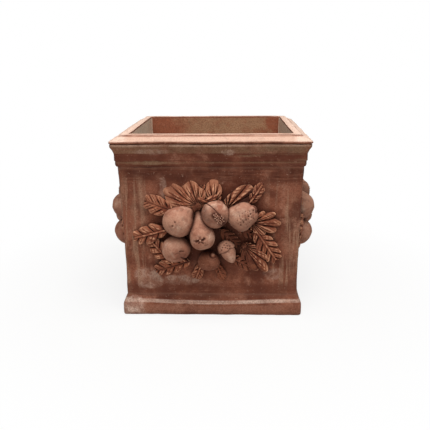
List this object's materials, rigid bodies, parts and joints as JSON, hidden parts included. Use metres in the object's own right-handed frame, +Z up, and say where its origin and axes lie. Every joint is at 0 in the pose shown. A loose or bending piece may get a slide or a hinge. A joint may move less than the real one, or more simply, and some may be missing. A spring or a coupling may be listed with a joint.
{
  "type": "planter",
  "caption": "Square open terracotta planter with a moulded rim and foot and a relief of fruit and leaves on every side.",
  "frame": {"origin": "middle of the underside, on the surface that the planter stands on", "axes": "+Z up, the front face towards -Y, +X to the right when the front face is looked at"},
  "size_m": [0.522, 0.522, 0.434],
  "materials": {
    "pot_clay": "matt, weathered",
    "fruit_clay": "matt, smoothed",
    "leaf_clay": "matt, carved"
  },
  "bodies": {
    "root": {"floor_slab": "pot_clay", "foot_front": "pot_clay", "foot_right": "pot_clay", "foot_back": "pot_clay", "foot_left": "pot_clay", "wall_front": "pot_clay", "wall_right": "pot_clay", "wall_back": "pot_clay", "wall_left": "pot_clay", "rim_front": "pot_clay", "rim_right": "pot_clay", "rim_back": "pot_clay", "rim_left": "pot_clay", "pear_front": "fruit_clay", "pear_right": "fruit_clay", "pear_back": "fruit_clay", "pear_left": "fruit_clay", "quince_front": "fruit_clay", "quince_right": "fruit_clay", "quince_back": "fruit_clay", "quince_left": "fruit_clay", "pomegranate_front": "fruit_clay", "pomegranate_right": "fruit_clay", "pomegranate_back": "fruit_clay", "pomegranate_left": "fruit_clay", "citron_front": "fruit_clay", "citron_right": "fruit_clay", "citron_back": "fruit_clay", "citron_left": "fruit_clay", "apple_front": "fruit_clay", "apple_right": "fruit_clay", "apple_back": "fruit_clay", "apple_left": "fruit_clay", "acorn_front": "fruit_clay", "acorn_right": "fruit_clay", "acorn_back": "fruit_clay", "acorn_left": "fruit_clay", "fig_front": "fruit_clay", "fig_right": "fruit_clay", "fig_back": "fruit_clay", "fig_left": "fruit_clay", "leaves_top_front": "leaf_clay", "leaves_top_right": "leaf_clay", "leaves_top_back": "leaf_clay", "leaves_top_left": "leaf_clay", "leaves_left_front": "leaf_clay", "leaves_left_right": "leaf_clay", "leaves_left_back": "leaf_clay", "leaves_left_left": "leaf_clay", "leaves_right_front": "leaf_clay", "leaves_right_right": "leaf_clay", "leaves_right_back": "leaf_clay", "leaves_right_left": "leaf_clay", "leaves_bottom_front": "leaf_clay", "leaves_bottom_right": "leaf_clay", "leaves_bottom_back": "leaf_clay", "leaves_bottom_left": "leaf_clay"}
  },
  "joints": []
}
